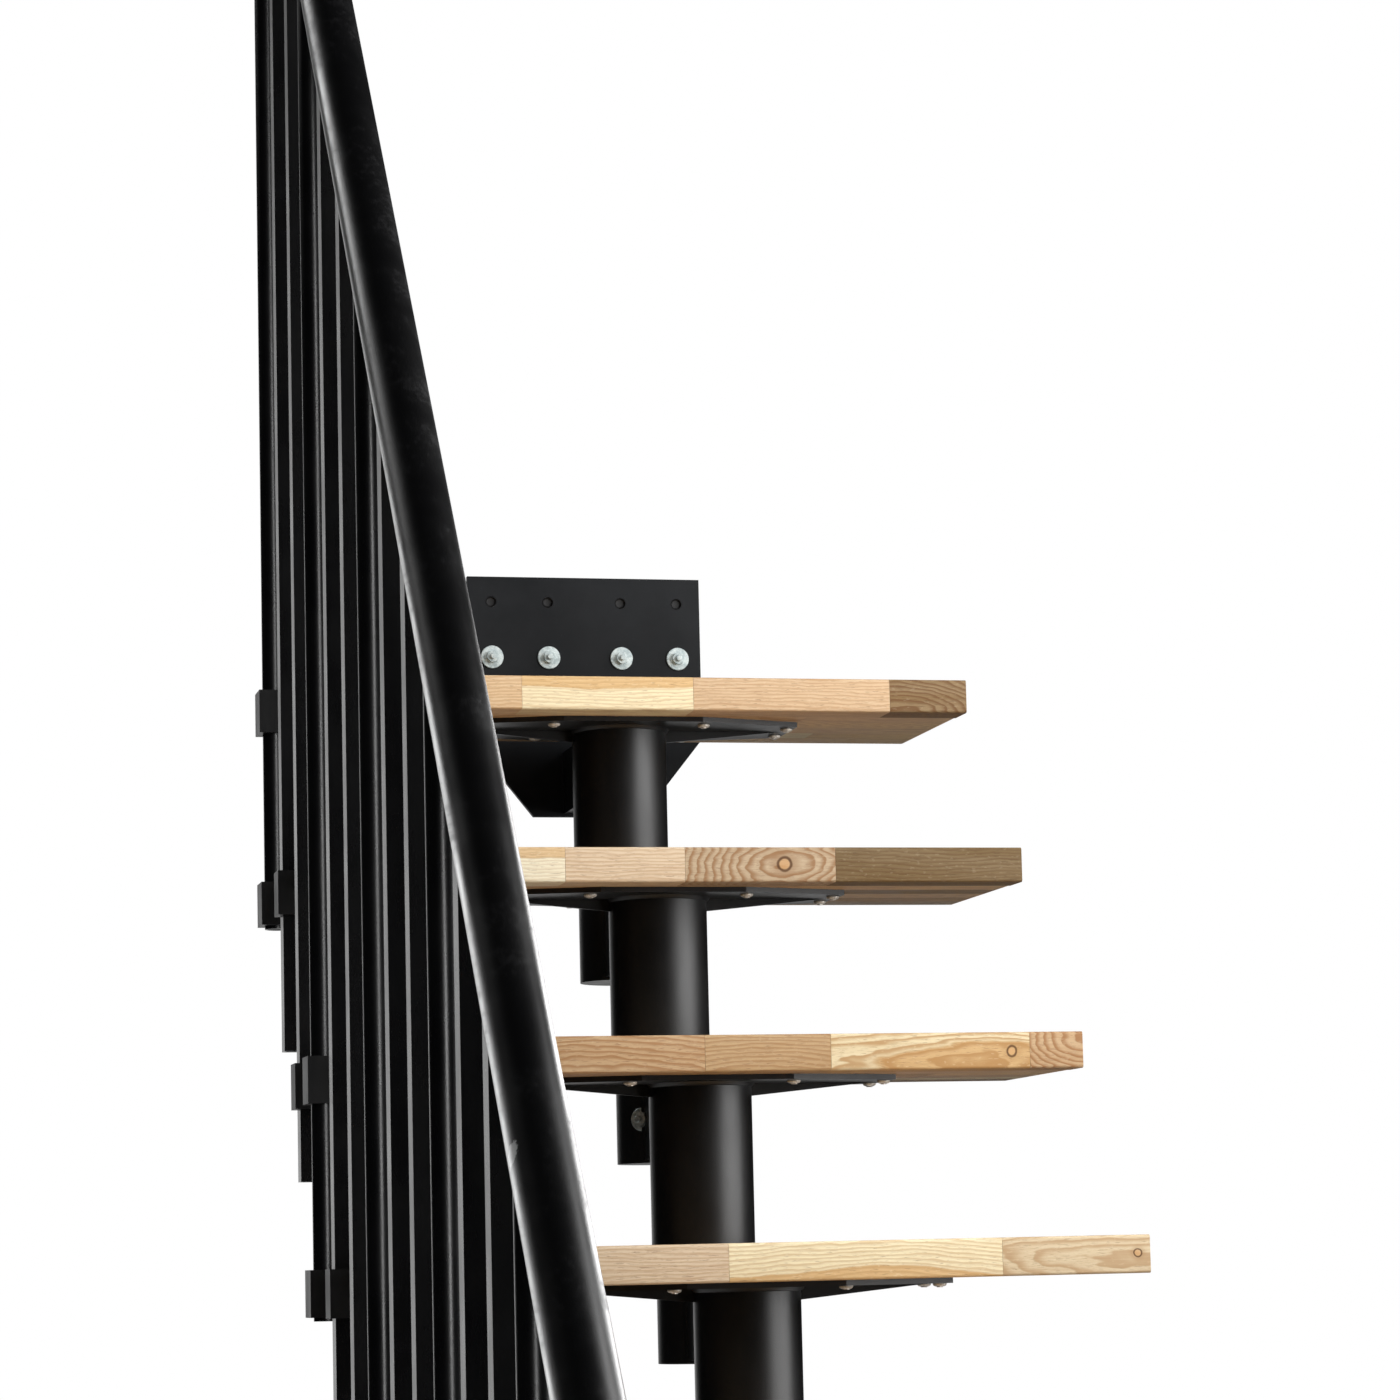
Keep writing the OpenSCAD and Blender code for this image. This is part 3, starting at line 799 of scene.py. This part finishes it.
def clip_screws():
    """Pan-head screws from below through each clip's foot, one under each tread's end."""
    bm = bmesh.new()
    rounds, squares = post_places()
    head = [(0, 0), (0.0050, 0), (0.0052, 0.0008), (0.0042, 0.0024), (0.0022, 0.0031), (0, 0.0032)]
    for y, _ in rounds + squares:
        for tread in TREADS:
            low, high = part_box(tread)
            if low.y + 0.004 < y < high.y - 0.004:
                place = Vector((low.x + 0.040, y, low.z - CLIP_FOOT_T))
                add_lathe(bm, head, place, (0, 0, -1), 20)
    piece = make_piece("clip_screws", bm, CAP)
    smooth_by_angle(piece)


def rail_caps():
    """Pressed end caps of the handrail, with a rounded rim and a slightly domed face."""
    pitch = math.atan2(RISE, GOING)
    along = Vector((0, math.cos(pitch), math.sin(pitch)))
    rail_low, rail_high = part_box("handrail")
    radius = (rail_high.x - rail_low.x) / 2
    thick, depth = 0.004, 0.010    # outside the tube, and into it
    inner = radius - 0.0035
    drop = radius * math.cos(pitch)
    shift = radius * math.sin(pitch)
    lower = Vector((RAIL_X, rail_low.y + shift, rail_low.z + drop))
    upper = Vector((RAIL_X, rail_high.y - shift, rail_high.z - drop))
    profile = [(0, -depth), (inner, -depth), (inner, 0.0), (radius, 0.0), (radius, 0.0010)]
    profile += [(radius - 0.0006, 0.0020), (radius - 0.0020, 0.0028)]
    profile += [(radius * 0.6, 0.0036), (0, thick)]
    bm = bmesh.new()
    add_lathe(bm, profile, lower, -along, 64)
    add_lathe(bm, profile, upper, along, 64)
    piece = make_piece("handrail_end_caps", bm, CAP)
    smooth_by_angle(piece)
    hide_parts("handrail_caps")


end_plugs()
clip_screws()
rail_caps()

# ---- Floor, light and camera ----

# Radius of the floor, and where it starts and ends to fade out.
FLOOR_R, FADE_FROM, FADE_TO = 4.4, 2.2, 4.2


def floor_material():
    """Pale floor that fades out at its edge. It shows lighter than the bounce it gives."""
    material = bpy.data.materials.new("pale_floor")
    n = Nodes(material)
    p = n.where()
    path = n.add("ShaderNodeLightPath")
    seen = n.math("MAXIMUM", path.outputs["Is Camera Ray"], path.outputs["Is Glossy Ray"])
    seen = n.math("MAXIMUM", seen, path.outputs["Is Transmission Ray"])
    tint = n.spread(n.noise(p, 3, 3), 0.3, 0.7, 0.97, 1.0)
    seen_colour = n.mix(tint, (0.88, 0.88, 0.88), (0.93, 0.93, 0.93))
    diffuse = n.add("ShaderNodeBsdfDiffuse")
    n.set(diffuse.inputs["Color"], n.mix(seen, (0.06, 0.055, 0.05), seen_colour))
    clear = n.add("ShaderNodeBsdfTransparent")
    blend = n.add("ShaderNodeMixShader")
    n.set(blend.inputs[0], n.spread(n.vector("LENGTH", p), FADE_FROM, FADE_TO))
    n.set(blend.inputs[1], diffuse.outputs[0])
    n.set(blend.inputs[2], clear.outputs[0])
    out = n.add("ShaderNodeOutputMaterial")
    n.set(out.inputs["Surface"], blend.outputs[0])
    return material


def build_floor():
    """A round floor, staged just below the foot of the stair."""
    bm = bmesh.new()
    bmesh.ops.create_circle(bm, cap_ends=True, segments=64, radius=FLOOR_R)
    mesh = bpy.data.meshes.new("floor")
    bm.to_mesh(mesh)
    bm.free()
    floor = bpy.data.objects.new("floor", mesh)
    bpy.context.scene.collection.objects.link(floor)
    floor.location = (0, (cad_box[0].y + cad_box[1].y) / 2, -0.0005)
    mesh.materials.append(floor_material())


def build_world():
    """White to the camera. Shiny steel sees a white backdrop behind the stair, else a dim room."""
    world = bpy.data.worlds.new("studio")
    bpy.context.scene.world = world
    n = Nodes(world)
    path = n.add("ShaderNodeLightPath")
    side = n.add("ShaderNodeSeparateXYZ")
    n.set(side.inputs[0], n.add("ShaderNodeTexCoord").outputs["Generated"])
    behind = n.spread(side.outputs[1], 0.91, 0.975, 0.006, 1.0)
    around = n.spread(side.outputs[2], -0.4, 0.4, 0.02, 0.28)
    shiny = n.math("MAXIMUM", path.outputs["Is Glossy Ray"], path.outputs["Is Transmission Ray"])
    matt = n.math("MULTIPLY", n.math("SUBTRACT", 1.0, shiny), around)
    level = n.math("ADD", n.math("MULTIPLY", shiny, behind), matt)
    level = n.math("MAXIMUM", level, path.outputs["Is Camera Ray"])
    back = n.add("ShaderNodeBackground")
    back.inputs["Color"].default_value = (1, 1, 1, 1)
    n.set(back.inputs["Strength"], level)
    out = n.add("ShaderNodeOutputWorld")
    n.set(out.inputs["Surface"], back.outputs[0])


WHITE = (1, 1, 1)
WARM_WHITE = (1.0, 0.99, 0.97)


def area_light(name, place, aim, width, height, radiance, colour=WHITE, only=None):
    """A soft box whose surface has the given brightness. It may light only some CAD nodes."""
    lamp = bpy.data.lights.new(name, "AREA")
    lamp.shape = "RECTANGLE"
    lamp.size, lamp.size_y = width, height
    lamp.energy = radiance * math.pi * width * height
    lamp.color = colour
    holder = bpy.data.objects.new(name, lamp)
    bpy.context.scene.collection.objects.link(holder)
    holder.location = place
    holder.visible_camera = False
    holder.rotation_euler = (Vector(aim) - Vector(place)).to_track_quat("-Z", "Y").to_euler()
    holder.light_linking.receiver_collection = only
    return holder


def receiver(name, nodes):
    """The CAD nodes that a reflector card lights."""
    lit = bpy.data.collections.new(name)
    for node in nodes:
        lit.objects.link(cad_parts[node])
    return lit


def build_lights():
    """Soft boxes for the whole stair, and cards that only draw the railing's long highlights."""
    rail = receiver("rail_receiver", ["handrail"])
    posts = receiver("post_receiver", POSTS)
    lights = [
        # name, place, aim, width, height, radiance, colour, only these nodes
        ("window_right", (2.4, 0.0, 3.05), (-0.2, 1.3, 2.65), 2.6, 3.5, 6.4),
        ("card_right", (1.6, 2.65, 2.55), (-0.43, 0.25, 1.9), 1.3, 1.0, 9.0, WHITE, rail),
        ("card_left", (-2.35, 4.5, 2.3), (-0.43, 0.4, 2.0), 1.1, 2.4, 7.0, WHITE, rail),
        ("card_posts", (-1.1, -4.6, 2.9), (-0.43, 0.8, 2.3), 1.6, 4.0, 11.0, WHITE, posts),
        ("skylight_left", (-2.8, 5.3, 5.8), (-0.43, 0.6, 3.0), 1.3, 1.3, 7.0),
    ]
    for light in lights:
        area_light(*light)
    front = area_light(
        "skylight_front", (-0.4, -2.6, 6.2), (0.0, 1.6, 2.0), 3.2, 2.4, 4.4, WARM_WHITE
    )
    front.visible_glossy = False


def build_camera():
    """Long lens at eye height before the foot of the flight, turned to the upper treads."""
    camera = bpy.data.cameras.new("camera")
    camera.sensor_width = 36
    camera.lens = 102.72
    camera.shift_y = 0.1
    camera.clip_start, camera.clip_end = 0.1, 100
    holder = bpy.data.objects.new("camera", camera)
    bpy.context.scene.collection.objects.link(holder)
    yaw, pitch, roll = 0.2261, 0.1076, -0.0232
    level = math.cos(pitch)
    forward = Vector((math.sin(yaw) * level, math.cos(yaw) * level, math.sin(pitch)))
    flat_right = Vector((math.cos(yaw), -math.sin(yaw), 0))
    flat_up = flat_right.cross(forward)
    right = math.cos(roll) * flat_right + math.sin(roll) * flat_up
    up = math.cos(roll) * flat_up - math.sin(roll) * flat_right
    turn = Matrix((right, up, -forward)).transposed().to_4x4()
    place = (-0.9886, -2.7262, 1.772)
    holder.matrix_world = Matrix.Translation(place) @ turn
    bpy.context.scene.camera = holder


build_floor()
build_world()
build_lights()
build_camera()
bpy.context.scene.view_settings.view_transform = "Standard"
